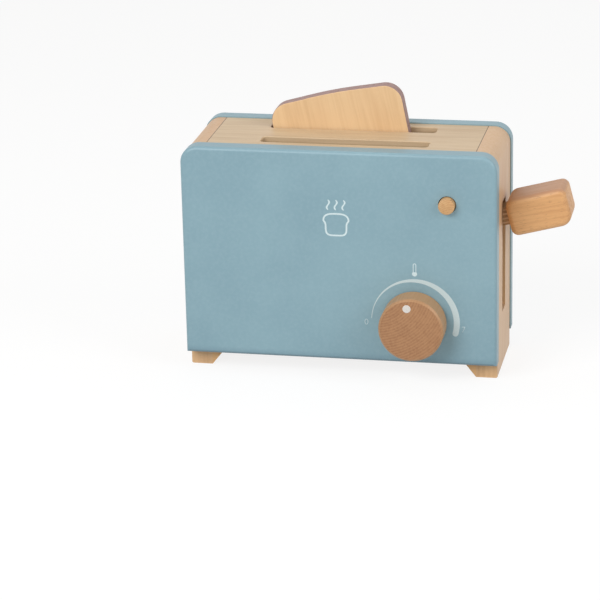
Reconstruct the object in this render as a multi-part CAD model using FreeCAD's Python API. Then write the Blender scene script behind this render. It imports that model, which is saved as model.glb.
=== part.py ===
import FreeCAD, Part
import math
import os

from FreeCAD import Vector

# Wooden toy toaster. Millimetres, Z up. x runs along the body, y from front to back.
# The shapes are laid out about the body's own centre on the floor, and the export
# moves them so that the origin is the bottom centre of the whole toy.

# Front and rear panels
PANEL_WIDTH = 220.0
PANEL_BOTTOM = 12.5
PANEL_TOP = 163.5
PANEL_THICK = 12.0
PANEL_CORNER = 12.0
PANEL_EDGE = 2.6

# Wooden frame between the panels
INNER_DEPTH = 67.0
REVEAL = 0.8
UPRIGHT_THICK = 15.0
UPRIGHT_CORNER = 11.0
TOP_THICK = 15.0
EDGE_BREAK = 0.8
FOOT_TOE = 10.0
FLOOR_THICK = 6.0
FLOOR_HEIGHT = 21.0
GROOVE_DEPTH = 4.0

# Toast slots and the slice that stands in the rear one
TOAST_SLOT_LENGTH = 117.2
TOAST_SLOT_WIDTH = 13.4
TOAST_SLOT_X = 1.0
TOAST_SLOT_Y = 18.0
TOAST_SLOT_CORNER = 3.0
SLICE_WIDTH = 95.6
SLICE_HEIGHT = 91.5
SLICE_THICK = 10.0
SLICE_TAPER = 2.2
SLICE_CROWN = 2.6
SLICE_TOP_CORNER = 13.0
SLICE_FOOT_CORNER = 6.0
SLICE_EDGE = 0.8
SLICE_GAP = 1.2

# Lever: a plywood arm that swings on a pin behind the left upright
PIVOT_X = -80.0
PIVOT_Z = 97.0
GRIP_X = 113.8
GRIP_Z = 110.6
LEVER_TILT = 12.3
LEVER_SWING = 15.0
ARM_THICK = 12.5
ARM_WIDTH = 14.5
ARM_TAIL = 7.0
TENON_LENGTH = 16.0
TENON_WIDTH = 10.0
TENON_THICK = 8.0
HANGER_WIDTH = 16.0
TRAY_MARGIN = 7.0
TRAY_WIDTH = 58.0
TRAY_THICK = 6.0
TRAY_CORNER = 6.0
HANDLE_LENGTH = 43.2
HANDLE_WIDTH = 30.6
HANDLE_HEIGHT = 26.9
HANDLE_CORNERS = (5.6, 9.0, 6.0, 8.0)
HANDLE_EDGE = 4.8
LEVER_SLOT_WIDTH = 16.0
LEVER_SLOT_ROOM = 4.4
LEVER_SLOT_CORNER = 1.0
LEVER_SLOT_BOTTOM = 40.0
PIVOT_PIN_RADIUS = 2.5
PIN_HEAD_RADIUS = 4.2
PIN_HEAD_THICK = 1.4
WASHER_RADIUS = 5.5
WASHER_THICK = 0.8
BRACKET_THICK = 1.5
BRACKET_BASE_HEIGHT = 40.0
BRACKET_EAR_RADIUS = 7.5
DIVIDER_WIDTH = 20.0
DIVIDER_LEFT = -40.0
DIVIDER_RIGHT = 64.0

# Dial knob
KNOB_X = 53.0
KNOB_Z = 43.0
KNOB_RADIUS = 22.5
KNOB_THICK = 18.0
KNOB_EDGE = 1.4
AXLE_RADIUS = 4.0
AXLE_SOCKET = 9.0

# Release button and its latch
BUTTON_X = 76.0
BUTTON_Z = 128.5
BUTTON_RADIUS = 5.0
BUTTON_HOLE_RADIUS = 6.25
BUTTON_PROUD = 4.6
BUTTON_TRAVEL = 4.0
BUTTON_EDGE = 0.9
COLLAR_RADIUS = 8.0
COLLAR_THICK = 2.5
STEM_RADIUS = 3.0
STEM_DOME = 1.6
LATCH_PIVOT_Y = -19.0
LATCH_PIVOT_Z = 92.0
LATCH_THICK = 8.0
LATCH_DEPTH = 10.0
LATCH_HEAD = 6.0
LATCH_TOE = 20.0
LATCH_TOE_HEIGHT = 9.0
LATCH_PIN_RADIUS = 1.5
LATCH_PIN_HEAD_RADIUS = 2.6
LATCH_PIN_HEAD_THICK = 1.0
LATCH_EAR_RADIUS = 5.0
LATCH_BASE_LENGTH = 30.0
LATCH_SCREW_SIDE = 11.0
LATCH_LUG_DROP = 11.0
LATCH_LUG_REACH = 7.0
LATCH_LUG_HEIGHT = 6.0
LATCH_LUG_WIDTH = 4.0
PEG_RADIUS = 0.9
PEG_REACH = 10.5
MAGNET_RADIUS = 4.0
MAGNET_THICK = 3.0
STRIKE_LENGTH = 18.0
STRIKE_WIDTH = 12.0
STRIKE_THICK = 1.2
CATCH_GAP = 0.8

# Springs and screw eyes
SPRING_RADIUS = 4.0
SPRING_WIRE = 0.5
SPRING_TURNS = 9
SPRING_LOOP = 3.0
LATCH_SPRING_RADIUS = 2.1
LATCH_SPRING_WIRE = 0.35
LATCH_SPRING_TURNS = 7
LATCH_SPRING_LOOP = 1.7
LATCH_SPRING_SPAN = 27.0
LATCH_SPRING_SIDE = 8.0
EYE_RADIUS = 3.6
EYE_WIRE = 0.9
EYE_SHANK = 8.0
EYE_STAND = 5.6

# Dowels and screws
DOWEL_RADIUS = 3.0
DOWEL_IN_PANEL = 8.0
DOWEL_IN_FRAME = 12.0
DOWEL_HEIGHTS = (34.0, 84.0, 140.0)
TOP_DOWEL_Y = 26.5
SCREW_RADIUS = 1.6
SCREW_HEAD_RADIUS = 3.2
SCREW_HEAD_THICK = 1.6
SCREW_LENGTH = 11.0

# Clearances
RUN_GAP = 0.3
PIN_GAP = 0.06
SIDE_GAP = 0.1
GLUE_GAP = 0.05
END_GAP = 0.5

# Places that follow from the sizes above
HALF_WIDTH = PANEL_WIDTH / 2
FRAME_HALF = HALF_WIDTH - REVEAL
SEAM_X = FRAME_HALF - UPRIGHT_THICK
FRAME_TOP = PANEL_TOP - REVEAL
TOP_UNDER = FRAME_TOP - TOP_THICK
HALF_INNER = INNER_DEPTH / 2
FRONT_FACE = -HALF_INNER - PANEL_THICK
FLOOR_UNDER = FLOOR_HEIGHT - FLOOR_THICK
TILT = math.radians(LEVER_TILT)
ARM_REACH = (GRIP_X - PIVOT_X) * math.cos(TILT) + (GRIP_Z - PIVOT_Z) * math.sin(TILT)
ARM_DROP = (GRIP_X - PIVOT_X) * math.sin(TILT) - (GRIP_Z - PIVOT_Z) * math.cos(TILT)
ARM_TOP = ARM_THICK / 2 - ARM_DROP
ARM_UNDER = -ARM_THICK / 2 - ARM_DROP
TRAY_TOP = ARM_TOP + TRAY_THICK
TOAST_SLOT_LEFT = TOAST_SLOT_X - TOAST_SLOT_LENGTH / 2
TOAST_SLOT_RIGHT = TOAST_SLOT_X + TOAST_SLOT_LENGTH / 2
SLICE_START = math.cos(TILT) * (TOAST_SLOT_LEFT + SLICE_GAP - PIVOT_X
                                + (FRAME_TOP - PIVOT_Z) * math.tan(TILT))
TRAY_START = SLICE_START - TRAY_MARGIN
TRAY_LENGTH = SLICE_WIDTH + 2 * TRAY_MARGIN
DOWN_TILT = LEVER_TILT - LEVER_SWING
EAR_INNER = ARM_WIDTH / 2 + WASHER_THICK + 2 * SIDE_GAP
EAR_OUTER = EAR_INNER + BRACKET_THICK
BASE_FRONT = -SEAM_X + BRACKET_THICK
LATCH_FRONT = LATCH_PIVOT_Y - LATCH_DEPTH / 2
LATCH_BACK = LATCH_PIVOT_Y + LATCH_DEPTH / 2
LATCH_TOP = BUTTON_Z + LATCH_HEAD
LATCH_EAR_INNER = LATCH_THICK / 2 + 2 * SIDE_GAP
LATCH_EAR_OUTER = LATCH_EAR_INNER + BRACKET_THICK
LATCH_TURN = math.degrees(math.atan((BUTTON_TRAVEL + RUN_GAP / 2) / (BUTTON_Z - LATCH_PIVOT_Z)))
PEG_Y = -HALF_INNER + EYE_STAND
PEG_Z = LATCH_PIVOT_Z - LATCH_LUG_DROP
LATCH_EYE_Z = PEG_Z - LATCH_SPRING_SPAN
LATCH_SPRING_X = BUTTON_X - LATCH_SPRING_SIDE


def box(x0, x1, y0, y1, z0, z1):
    return Part.makeBox(x1 - x0, y1 - y0, z1 - z0, Vector(x0, y0, z0))


def rod(radius, start, end):
    start = Vector(*start)
    run = Vector(*end) - start
    return Part.makeCylinder(radius, run.Length, start, run)


def face_of(edges):
    return Part.Face(Part.Wire(Part.__sortEdges__(edges)))


def rounded_outline(corners, radii, normal_axis, level):
    """A closed outline through corners (u, v), each rounded by its own radius."""
    def lift(u, v):
        if normal_axis == "y":
            return Vector(u, level, v)
        if normal_axis == "x":
            return Vector(level, u, v)
        return Vector(u, v, level)

    count = len(corners)
    edges = []
    starts = []
    ends = []
    for index, (u, v) in enumerate(corners):
        radius = radii[index]
        here = Vector(u, v, 0)
        before = Vector(*corners[index - 1], 0) - here
        after = Vector(*corners[(index + 1) % count], 0) - here
        before.normalize()
        after.normalize()
        if radius == 0:
            starts.append(here)
            ends.append(here)
            continue
        half = before.getAngle(after) / 2
        reach = radius / math.tan(half)
        centre = here + (before + after).normalize() * (radius / math.sin(half))
        first = here + before * reach
        last = here + after * reach
        middle = centre + (here - centre).normalize() * radius
        starts.append(first)
        ends.append(last)
        edges.append(Part.Arc(lift(first.x, first.y), lift(middle.x, middle.y),
                              lift(last.x, last.y)).toShape())
    for index in range(count):
        first = ends[index]
        last = starts[(index + 1) % count]
        if (last - first).Length > 1e-6:
            edges.append(Part.LineSegment(lift(first.x, first.y), lift(last.x, last.y)).toShape())
    return face_of(edges)


def fillet_where(shape, radius, wanted):
    edges = [edge for edge in shape.Edges if wanted(edge)]
    return shape.makeFillet(radius, edges)


def chamfer_where(shape, size, wanted):
    edges = [edge for edge in shape.Edges if wanted(edge)]
    return shape.makeChamfer(size, edges)


def lies_at(edge, axis, value):
    box_of_edge = edge.BoundBox
    low = getattr(box_of_edge, axis + "Min")
    high = getattr(box_of_edge, axis + "Max")
    return abs(low - value) < 0.01 and abs(high - value) < 0.01


def at_lever(shape, tilt=LEVER_TILT):
    """Moves a shape from the lever's own frame, at the pivot and level, to its place."""
    moved = shape.copy()
    moved.rotate(Vector(0, 0, 0), Vector(0, 1, 0), -tilt)
    moved.translate(Vector(PIVOT_X, 0, PIVOT_Z))
    return moved


def lever_point(along, above, tilt=LEVER_TILT):
    angle = math.radians(tilt)
    x = PIVOT_X + along * math.cos(angle) - above * math.sin(angle)
    z = PIVOT_Z + along * math.sin(angle) + above * math.cos(angle)
    return x, z


def height_above_lever(x, above, tilt=LEVER_TILT):
    """Height at x of the line that runs parallel to the arm, above the pivot line."""
    angle = math.radians(tilt)
    return PIVOT_Z + (x - PIVOT_X) * math.tan(angle) + above / math.cos(angle)


def along_at(x, above, tilt):
    angle = math.radians(tilt)
    return (x - PIVOT_X + math.sin(angle) * above) / math.cos(angle)


LEVER_SLOT_TOP = height_above_lever(FRAME_HALF, ARM_TOP) + LEVER_SLOT_ROOM
STRIKE_ALONG = along_at(BUTTON_X, ARM_UNDER, DOWN_TILT)
MAGNET_TOP = height_above_lever(BUTTON_X, ARM_UNDER - STRIKE_THICK, DOWN_TILT) - CATCH_GAP
MAGNET_Y = LATCH_BACK + LATCH_TOE - LATCH_DEPTH / 2 - MAGNET_RADIUS - 1.5
TRAY_SCREWS = (TRAY_START + 14.0, TRAY_START + TRAY_LENGTH - 14.0)


def dowel_places(side):
    """Start and end of each dowel between one panel and the two uprights."""
    places = []
    for x in (-FRAME_HALF + UPRIGHT_THICK / 2, FRAME_HALF - UPRIGHT_THICK / 2):
        for z in DOWEL_HEIGHTS:
            inner = side * (HALF_INNER - DOWEL_IN_FRAME)
            outer = side * (HALF_INNER + DOWEL_IN_PANEL)
            places.append(((x, inner, z), (x, outer, z)))
    return places


def top_dowel_places():
    places = []
    z = FRAME_TOP - TOP_THICK / 2
    for side in (-1, 1):
        for y in (-TOP_DOWEL_Y, TOP_DOWEL_Y):
            inner = side * (SEAM_X - DOWEL_IN_FRAME)
            outer = side * (SEAM_X + DOWEL_IN_PANEL)
            places.append(((inner, y, z), (outer, y, z)))
    return places


def dowel_holes(places):
    return [rod(DOWEL_RADIUS, start, end) for start, end in places]


def dowels(places):
    """Glue dowels with bevelled ends, a little slimmer and shorter than their holes."""
    pegs = []
    for start, end in places:
        run = Vector(*end) - Vector(*start)
        step = Vector(run).normalize() * END_GAP
        first = Vector(*start) + step
        last = Vector(*end) - step
        peg = Part.makeCylinder(DOWEL_RADIUS - GLUE_GAP, (last - first).Length, first, run)
        pegs.append(peg.makeChamfer(0.6, [edge for edge in peg.Edges if edge.Curve.TypeId
                                          == "Part::GeomCircle"]))
    return pegs


def cut_all(shape, tools):
    for tool in tools:
        shape = shape.cut(tool)
    return shape


def panel(side):
    corners = [(-HALF_WIDTH, PANEL_BOTTOM), (HALF_WIDTH, PANEL_BOTTOM),
               (HALF_WIDTH, PANEL_TOP), (-HALF_WIDTH, PANEL_TOP)]
    radii = [0, 0, PANEL_CORNER, PANEL_CORNER]
    inner = side * HALF_INNER
    outer = side * (HALF_INNER + PANEL_THICK)
    board = rounded_outline(corners, radii, "y", inner).extrude(Vector(0, outer - inner, 0))
    board = fillet_where(board, PANEL_EDGE, lambda edge: lies_at(edge, "Y", outer))
    groove = box(-SEAM_X, SEAM_X, min(inner, inner + side * GROOVE_DEPTH),
                 max(inner, inner + side * GROOVE_DEPTH), FLOOR_UNDER, FLOOR_HEIGHT)
    return cut_all(board, [groove] + dowel_holes(dowel_places(side)))


def screw_tools(places, radius=SCREW_RADIUS):
    """Pilot holes for screws: each place is the point under the head and the way in."""
    holes = []
    for point, way in places:
        holes.append(Part.makeCylinder(radius, SCREW_LENGTH + END_GAP, Vector(*point),
                                       Vector(*way)))
    return holes


def screws(places):
    """Pan-head wood screws with a tapered tip."""
    made = []
    for point, way in places:
        point = Vector(*point)
        way = Vector(*way).normalize()
        shank_radius = SCREW_RADIUS - GLUE_GAP
        tip = 3.0
        shank = Part.makeCylinder(shank_radius, SCREW_LENGTH - tip, point, way)
        cone = Part.makeCone(shank_radius, 0.3, tip, point + way * (SCREW_LENGTH - tip), way)
        head = Part.makeCylinder(SCREW_HEAD_RADIUS, SCREW_HEAD_THICK,
                                 point - way * SCREW_HEAD_THICK, way)
        top_edges = [edge for edge in head.Edges if edge.Curve.TypeId == "Part::GeomCircle"
                     and (edge.Curve.Center - (point - way * SCREW_HEAD_THICK)).Length < 0.01]
        head = head.makeFillet(SCREW_HEAD_THICK * 0.5, top_edges)
        made.append(head.fuse([shank, cone]).removeSplitter())
    return made


BRACKET_SCREWS = [((BASE_FRONT, 0, PIVOT_Z + BRACKET_EAR_RADIUS + 5 + 13 * step), (-1, 0, 0))
                  for step in (0, 1)]
LATCH_SCREWS = [((BUTTON_X + LATCH_SCREW_SIDE * side, -HALF_INNER + BRACKET_THICK,
                  LATCH_PIVOT_Z), (0, -1, 0)) for side in (-1, 1)]
KNOB_SCREW = [((KNOB_X, -HALF_INNER + RUN_GAP + WASHER_THICK, KNOB_Z), (0, -1, 0))]


def front_panel():
    board = panel(-1)
    through = PANEL_THICK + 2
    button_hole = rod(BUTTON_HOLE_RADIUS, (BUTTON_X, FRONT_FACE - 1, BUTTON_Z),
                      (BUTTON_X, FRONT_FACE - 1 + through, BUTTON_Z))
    axle_hole = rod(AXLE_RADIUS + 0.1, (KNOB_X, FRONT_FACE - 1, KNOB_Z),
                    (KNOB_X, FRONT_FACE - 1 + through, KNOB_Z))
    latch_pilots = [rod(SCREW_RADIUS, (x, -HALF_INNER, z), (x, -HALF_INNER - 10.2, z))
                    for (x, _, z), _ in LATCH_SCREWS]
    eye_pilot = rod(EYE_WIRE, (LATCH_SPRING_X, -HALF_INNER, LATCH_EYE_Z),
                    (LATCH_SPRING_X, -HALF_INNER - EYE_SHANK, LATCH_EYE_Z))
    return cut_all(board, [button_hole, axle_hole, eye_pilot] + latch_pilots)


def rear_panel():
    return panel(1)


def upright(side):
    """End board with a rounded outer top corner, standing on the floor."""
    outer = side * FRAME_HALF
    inner = side * SEAM_X
    corners = [(inner, 0), (outer, 0), (outer, FRAME_TOP), (inner, FRAME_TOP)]
    board = rounded_outline(corners, [0, 0, UPRIGHT_CORNER, 0], "y", -HALF_INNER)
    board = board.extrude(Vector(0, INNER_DEPTH, 0))
    board = chamfer_where(board, EDGE_BREAK,
                          lambda edge: lies_at(edge, "X", outer) and lies_at(edge, "Z", 0))
    holes = dowel_holes(dowel_places(-1) + dowel_places(1) + top_dowel_places())
    return cut_all(board, holes)


def left_upright():
    return cut_all(upright(-1), screw_tools(BRACKET_SCREWS))


def right_upright():
    half = LEVER_SLOT_WIDTH / 2
    slot = box(SEAM_X - 1, FRAME_HALF + 1, -half, half, LEVER_SLOT_BOTTOM, LEVER_SLOT_TOP)
    slot = fillet_where(slot, LEVER_SLOT_CORNER, lambda edge: edge.BoundBox.XLength > UPRIGHT_THICK)
    return upright(1).cut(slot)


def foot_block(side):
    """Glue block beside the upright, splayed below the panel down to the floor."""
    seam = side * SEAM_X
    toe = side * (SEAM_X - FOOT_TOE)
    corners = [(seam, 0), (seam, FLOOR_UNDER), (toe, FLOOR_UNDER), (toe, PANEL_BOTTOM)]
    face = rounded_outline(corners, [0, 0, 0, 0], "y", -HALF_INNER)
    return face.extrude(Vector(0, INNER_DEPTH, 0))


def toast_slot(y, low, high):
    wide = TOAST_SLOT_WIDTH / 2
    slot = box(TOAST_SLOT_LEFT, TOAST_SLOT_RIGHT, y - wide, y + wide, low, high)
    return fillet_where(slot, TOAST_SLOT_CORNER, lambda edge: edge.BoundBox.ZLength > 1)


def eye_centre_top():
    x, _ = lever_point(*lever_eye_local())
    return x, TOP_UNDER - EYE_STAND


def lever_eye_local():
    return 17.0, ARM_TOP + EYE_STAND


def top_board():
    board = box(-SEAM_X, SEAM_X, -HALF_INNER, HALF_INNER, TOP_UNDER, FRAME_TOP)
    slots = [toast_slot(y, TOP_UNDER - 1, FRAME_TOP + 1) for y in (-TOAST_SLOT_Y, TOAST_SLOT_Y)]
    board = cut_all(board, slots)
    board = chamfer_where(board, 0.5, lambda edge: lies_at(edge, "Z", FRAME_TOP)
                          and edge.BoundBox.XMax < SEAM_X - 1 and edge.BoundBox.XMin > 1 - SEAM_X)
    eye_x, _ = eye_centre_top()
    eye_pilot = rod(EYE_WIRE, (eye_x, 0, TOP_UNDER), (eye_x, 0, TOP_UNDER + EYE_SHANK))
    return cut_all(board, [eye_pilot] + dowel_holes(top_dowel_places()))


def floor_board():
    deep = HALF_INNER + GROOVE_DEPTH - END_GAP
    return box(-SEAM_X, SEAM_X, -deep, deep, FLOOR_UNDER, FLOOR_HEIGHT)


def slot_divider():
    """Board between the two bays. Its slanted lower edge is the tray's upper stop."""
    lift = TRAY_TOP + RUN_GAP
    corners = [(DIVIDER_LEFT, height_above_lever(DIVIDER_LEFT, lift)),
               (DIVIDER_RIGHT, height_above_lever(DIVIDER_RIGHT, lift)),
               (DIVIDER_RIGHT, TOP_UNDER), (DIVIDER_LEFT, TOP_UNDER)]
    face = rounded_outline(corners, [3, 3, 0, 0], "y", -DIVIDER_WIDTH / 2)
    return face.extrude(Vector(0, DIVIDER_WIDTH, 0))


def pivot_bracket():
    """Bent steel bracket: a base on the left upright and two ears that hold the pin."""
    base = box(-SEAM_X, BASE_FRONT, -EAR_OUTER, EAR_OUTER, PIVOT_Z - BRACKET_EAR_RADIUS,
               PIVOT_Z - BRACKET_EAR_RADIUS + BRACKET_BASE_HEIGHT)
    base = fillet_where(base, 3.0, lambda edge: edge.BoundBox.XLength > 1
                        and lies_at(edge, "Z", base.BoundBox.ZMax))
    solids = [base]
    for side in (-1, 1):
        low = min(side * EAR_INNER, side * EAR_OUTER)
        arm = box(-SEAM_X, PIVOT_X, low, low + BRACKET_THICK, PIVOT_Z - BRACKET_EAR_RADIUS,
                  PIVOT_Z + BRACKET_EAR_RADIUS)
        nose = rod(BRACKET_EAR_RADIUS, (PIVOT_X, low, PIVOT_Z), (PIVOT_X, low + BRACKET_THICK, PIVOT_Z))
        solids += [arm, nose]
    body = solids[0].fuse(solids[1:]).removeSplitter()
    bore = rod(PIVOT_PIN_RADIUS + GLUE_GAP, (PIVOT_X, -EAR_OUTER - 1, PIVOT_Z),
               (PIVOT_X, EAR_OUTER + 1, PIVOT_Z))
    return cut_all(body, [bore] + screw_tools([((x + 1, y, z), way) for (x, y, z), way
                                               in BRACKET_SCREWS]))


def headed_pin(radius, head_radius, head_thick, start, end):
    """Steel pin with a domed head at its start and a riveted head at its end."""
    start = Vector(*start)
    end = Vector(*end)
    way = (end - start).normalize()
    heads = []
    for point, out in ((start, way * -1), (end, way)):
        head = Part.makeCylinder(head_radius, head_thick, point, out)
        rim = [edge for edge in head.Edges if edge.Curve.TypeId == "Part::GeomCircle"
               and (edge.Curve.Center - (point + out * head_thick)).Length < 0.01]
        heads.append(head.makeFillet(head_thick * 0.6, rim))
    shank = Part.makeCylinder(radius, (end - start).Length, start, way)
    return shank.fuse(heads).removeSplitter()


def pivot_pin():
    return headed_pin(PIVOT_PIN_RADIUS, PIN_HEAD_RADIUS, PIN_HEAD_THICK,
                      (PIVOT_X, -EAR_OUTER, PIVOT_Z), (PIVOT_X, EAR_OUTER, PIVOT_Z))


def pivot_washers():
    rings = []
    for side in (-1, 1):
        near = side * (ARM_WIDTH / 2 + SIDE_GAP)
        far = side * (ARM_WIDTH / 2 + SIDE_GAP + WASHER_THICK)
        ring = rod(WASHER_RADIUS, (PIVOT_X, near, PIVOT_Z), (PIVOT_X, far, PIVOT_Z))
        bore = rod(PIVOT_PIN_RADIUS + PIN_GAP, (PIVOT_X, near, PIVOT_Z), (PIVOT_X, far, PIVOT_Z))
        rings.append(ring.cut(bore))
    return rings


def lever_board():
    """Plywood arm: round tail by the pivot, plain neck, tenon in the handle."""
    half = ARM_WIDTH / 2
    corners = [(-ARM_TAIL, -half), (ARM_REACH, -half), (ARM_REACH, half), (-ARM_TAIL, half)]
    arm = rounded_outline(corners, [4, 0, 0, 4], "z", ARM_UNDER)
    arm = arm.extrude(Vector(0, 0, ARM_THICK))
    tenon = box(ARM_REACH - 1, ARM_REACH + TENON_LENGTH, -TENON_WIDTH / 2, TENON_WIDTH / 2,
                -ARM_DROP - TENON_THICK / 2, -ARM_DROP + TENON_THICK / 2)
    arm = arm.fuse(tenon).removeSplitter()
    eye_along, _ = lever_eye_local()
    pilots = [rod(EYE_WIRE, (eye_along, 0, ARM_TOP), (eye_along, 0, ARM_TOP - EYE_SHANK))]
    pilots += screw_tools(lever_screw_places())
    pilots.append(lever_head_pockets()[-1])
    return at_lever(cut_all(arm, pilots))


def lever_screw_places():
    """Screws in the arm's own frame: two down through the tray, one up into the hanger."""
    down = [((along, 0, TRAY_TOP - SCREW_HEAD_THICK - 0.4), (0, 0, -1)) for along in TRAY_SCREWS]
    up = [((0, 0, ARM_UNDER + ARM_THICK / 2), (0, 0, 1))]
    return down + up


def lever_screws():
    return [at_lever(screw) for screw in screws(lever_screw_places())]


def lever_head_pockets():
    pockets = []
    for point, way in lever_screw_places():
        head = Vector(*point)
        out = Vector(*way) * -1
        pockets.append(Part.makeCylinder(SCREW_HEAD_RADIUS + 0.2, 8.0, head, out))
    return pockets


def toast_tray():
    """Plywood shelf that carries both slices, sunk screws along its middle."""
    half = TRAY_WIDTH / 2
    end = TRAY_START + TRAY_LENGTH
    corners = [(TRAY_START, -half), (end, -half), (end, half), (TRAY_START, half)]
    shelf = rounded_outline(corners, [TRAY_CORNER] * 4, "z", ARM_TOP)
    shelf = shelf.extrude(Vector(0, 0, TRAY_THICK))
    tools = screw_tools(lever_screw_places()[:2]) + lever_head_pockets()[:2]
    return at_lever(cut_all(shelf, tools))


def lever_hanger():
    """Beech block on the arm's tail that hangs it from the pivot pin."""
    half = HANGER_WIDTH / 2
    block = box(-half, half, -ARM_WIDTH / 2, ARM_WIDTH / 2, ARM_TOP, 0)
    nose = rod(half, (0, -ARM_WIDTH / 2, 0), (0, ARM_WIDTH / 2, 0))
    block = block.fuse(nose).removeSplitter()
    left_room = box(-half - 1, -ARM_TAIL, -ARM_WIDTH, ARM_WIDTH, ARM_TOP - 1, ARM_TOP + 6)
    bore = rod(PIVOT_PIN_RADIUS + PIN_GAP, (0, -ARM_WIDTH, 0), (0, ARM_WIDTH, 0))
    return at_lever(cut_all(block, [bore, left_room] + screw_tools(lever_screw_places()[2:])))


def lever_handle():
    """Beech grip: a block with full round corners, glued on the arm's tenon."""
    start = ARM_REACH
    end = ARM_REACH + HANDLE_LENGTH
    low = -ARM_DROP - HANDLE_HEIGHT / 2
    high = -ARM_DROP + HANDLE_HEIGHT / 2
    corners = [(start, low), (end, low), (end, high), (start, high)]
    face = rounded_outline(corners, HANDLE_CORNERS, "y", -HANDLE_WIDTH / 2)
    grip = face.extrude(Vector(0, HANDLE_WIDTH, 0))
    grip = fillet_where(grip, HANDLE_EDGE, lambda edge: lies_at(edge, "Y", HANDLE_WIDTH / 2)
                        or lies_at(edge, "Y", -HANDLE_WIDTH / 2))
    mortise = box(start - 1, start + TENON_LENGTH + END_GAP, -TENON_WIDTH / 2 - GLUE_GAP,
                  TENON_WIDTH / 2 + GLUE_GAP, -ARM_DROP - TENON_THICK / 2 - GLUE_GAP,
                  -ARM_DROP + TENON_THICK / 2 + GLUE_GAP)
    return at_lever(grip.cut(mortise))


def screw_eye(shank_start, way, ring_axis):
    """Screw eye: a threaded shank in the wood and a round wire ring outside."""
    start = Vector(*shank_start)
    way = Vector(*way).normalize()
    centre = start - way * EYE_STAND
    ring = Part.makeTorus(EYE_RADIUS, EYE_WIRE, centre, Vector(*ring_axis))
    length = EYE_SHANK + EYE_STAND - EYE_RADIUS - END_GAP
    shank = Part.makeCylinder(EYE_WIRE - GLUE_GAP, length, centre + way * EYE_RADIUS, way)
    return ring.fuse(shank).removeSplitter()


def top_screw_eye():
    x, _ = eye_centre_top()
    return screw_eye((x, 0, TOP_UNDER), (0, 0, 1), (0, 1, 0))


def lever_screw_eye():
    along, _ = lever_eye_local()
    return at_lever(screw_eye((along, 0, ARM_TOP), (0, 0, -1), (0, 1, 0)))


def latch_screw_eye():
    return screw_eye((LATCH_SPRING_X, -HALF_INNER, LATCH_EYE_Z), (0, -1, 0), (1, 0, 0))


def arc_from(start, tangent, end):
    """The circular arc that leaves start along tangent and reaches end."""
    chord = end - start
    normal = tangent.cross(chord)
    side = normal.cross(tangent).normalize()
    radius = chord.Length ** 2 / (2 * chord.dot(side))
    centre = start + side * radius
    middle = (start + end) * 0.5 - centre
    return Part.Arc(start, centre + middle.normalize() * radius, end).toShape()


def coil_edges(radius, low, high, turns):
    """A helix about Z made of two tangent arcs for each quarter turn."""
    steps = turns * 4
    rise = (high - low) / steps
    turn = math.pi / 2
    slope = rise / turn

    def point(index):
        angle = index * turn
        return Vector(radius * math.cos(angle), radius * math.sin(angle), low + rise * index)

    def tangent(index):
        angle = index * turn
        return Vector(-radius * math.sin(angle), radius * math.cos(angle), slope).normalize()

    edges = []
    for index in range(steps):
        start = point(index)
        end = point(index + 1)
        leave = tangent(index)
        arrive = tangent(index + 1)
        chord = end - start
        both = leave + arrive
        bend = 2 * (1 - leave.dot(arrive))
        reach = (-chord.dot(both) + math.sqrt(chord.dot(both) ** 2 + bend * chord.dot(chord))) / bend
        joint = (start + leave * reach + end - arrive * reach) * 0.5
        through = (end - arrive * reach - start - leave * reach).normalize()
        edges.append(arc_from(start, leave, joint))
        edges.append(arc_from(joint, through, end))
    return edges


def tension_spring(radius, wire, turns, loop, low_centre, high_centre, low_axis, high_axis):
    """Open coil about Z with a round loop at each end, given the loops' heights and axes."""
    low = low_centre + loop + wire
    high = high_centre - loop - wire
    path = Part.Wire(coil_edges(radius, low, high, turns))
    start = Vector(radius, 0, low)
    leave = path.Edges[0].tangentAt(path.Edges[0].FirstParameter)
    section = Part.Wire(Part.makeCircle(wire, start, leave))
    coil = path.makePipeShell([section], True, False)
    parts = []
    for level, centre, axis in ((low, low_centre, low_axis), (high, high_centre, high_axis)):
        parts.append(Part.makeTorus(loop, wire, Vector(0, 0, centre), Vector(*axis)))
        parts.append(rod(wire * 0.98, (radius, 0, level), (0, 0, level)))
        parts.append(Part.makeSphere(wire, Vector(radius, 0, level)))
    print("spring gap between turns", round((high - low) / turns - 2 * wire, 2))
    return coil.fuse(parts).removeSplitter()


def hook_shift(loop):
    """From a ring's centre to the centre of a loop hooked in it and pulled tight."""
    return EYE_RADIUS - EYE_WIRE - RUN_GAP + loop


def return_spring():
    x, top_eye = eye_centre_top()
    _, low_eye = lever_point(*lever_eye_local())
    low = low_eye + hook_shift(SPRING_LOOP) - SPRING_WIRE
    high = top_eye - hook_shift(SPRING_LOOP) + SPRING_WIRE
    spring = tension_spring(SPRING_RADIUS, SPRING_WIRE, SPRING_TURNS, SPRING_LOOP,
                            low, high, (1, 0, 0), (1, 0, 0))
    spring.translate(Vector(x, 0, 0))
    return spring


def latch_spring():
    low = LATCH_EYE_Z + hook_shift(LATCH_SPRING_LOOP) - LATCH_SPRING_WIRE
    high = PEG_Z + PEG_RADIUS + RUN_GAP + LATCH_SPRING_WIRE - LATCH_SPRING_LOOP
    spring = tension_spring(LATCH_SPRING_RADIUS, LATCH_SPRING_WIRE, LATCH_SPRING_TURNS,
                            LATCH_SPRING_LOOP, low, high, (0, 1, 0), (1, 0, 0))
    spring.translate(Vector(LATCH_SPRING_X, PEG_Y, 0))
    return spring


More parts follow.
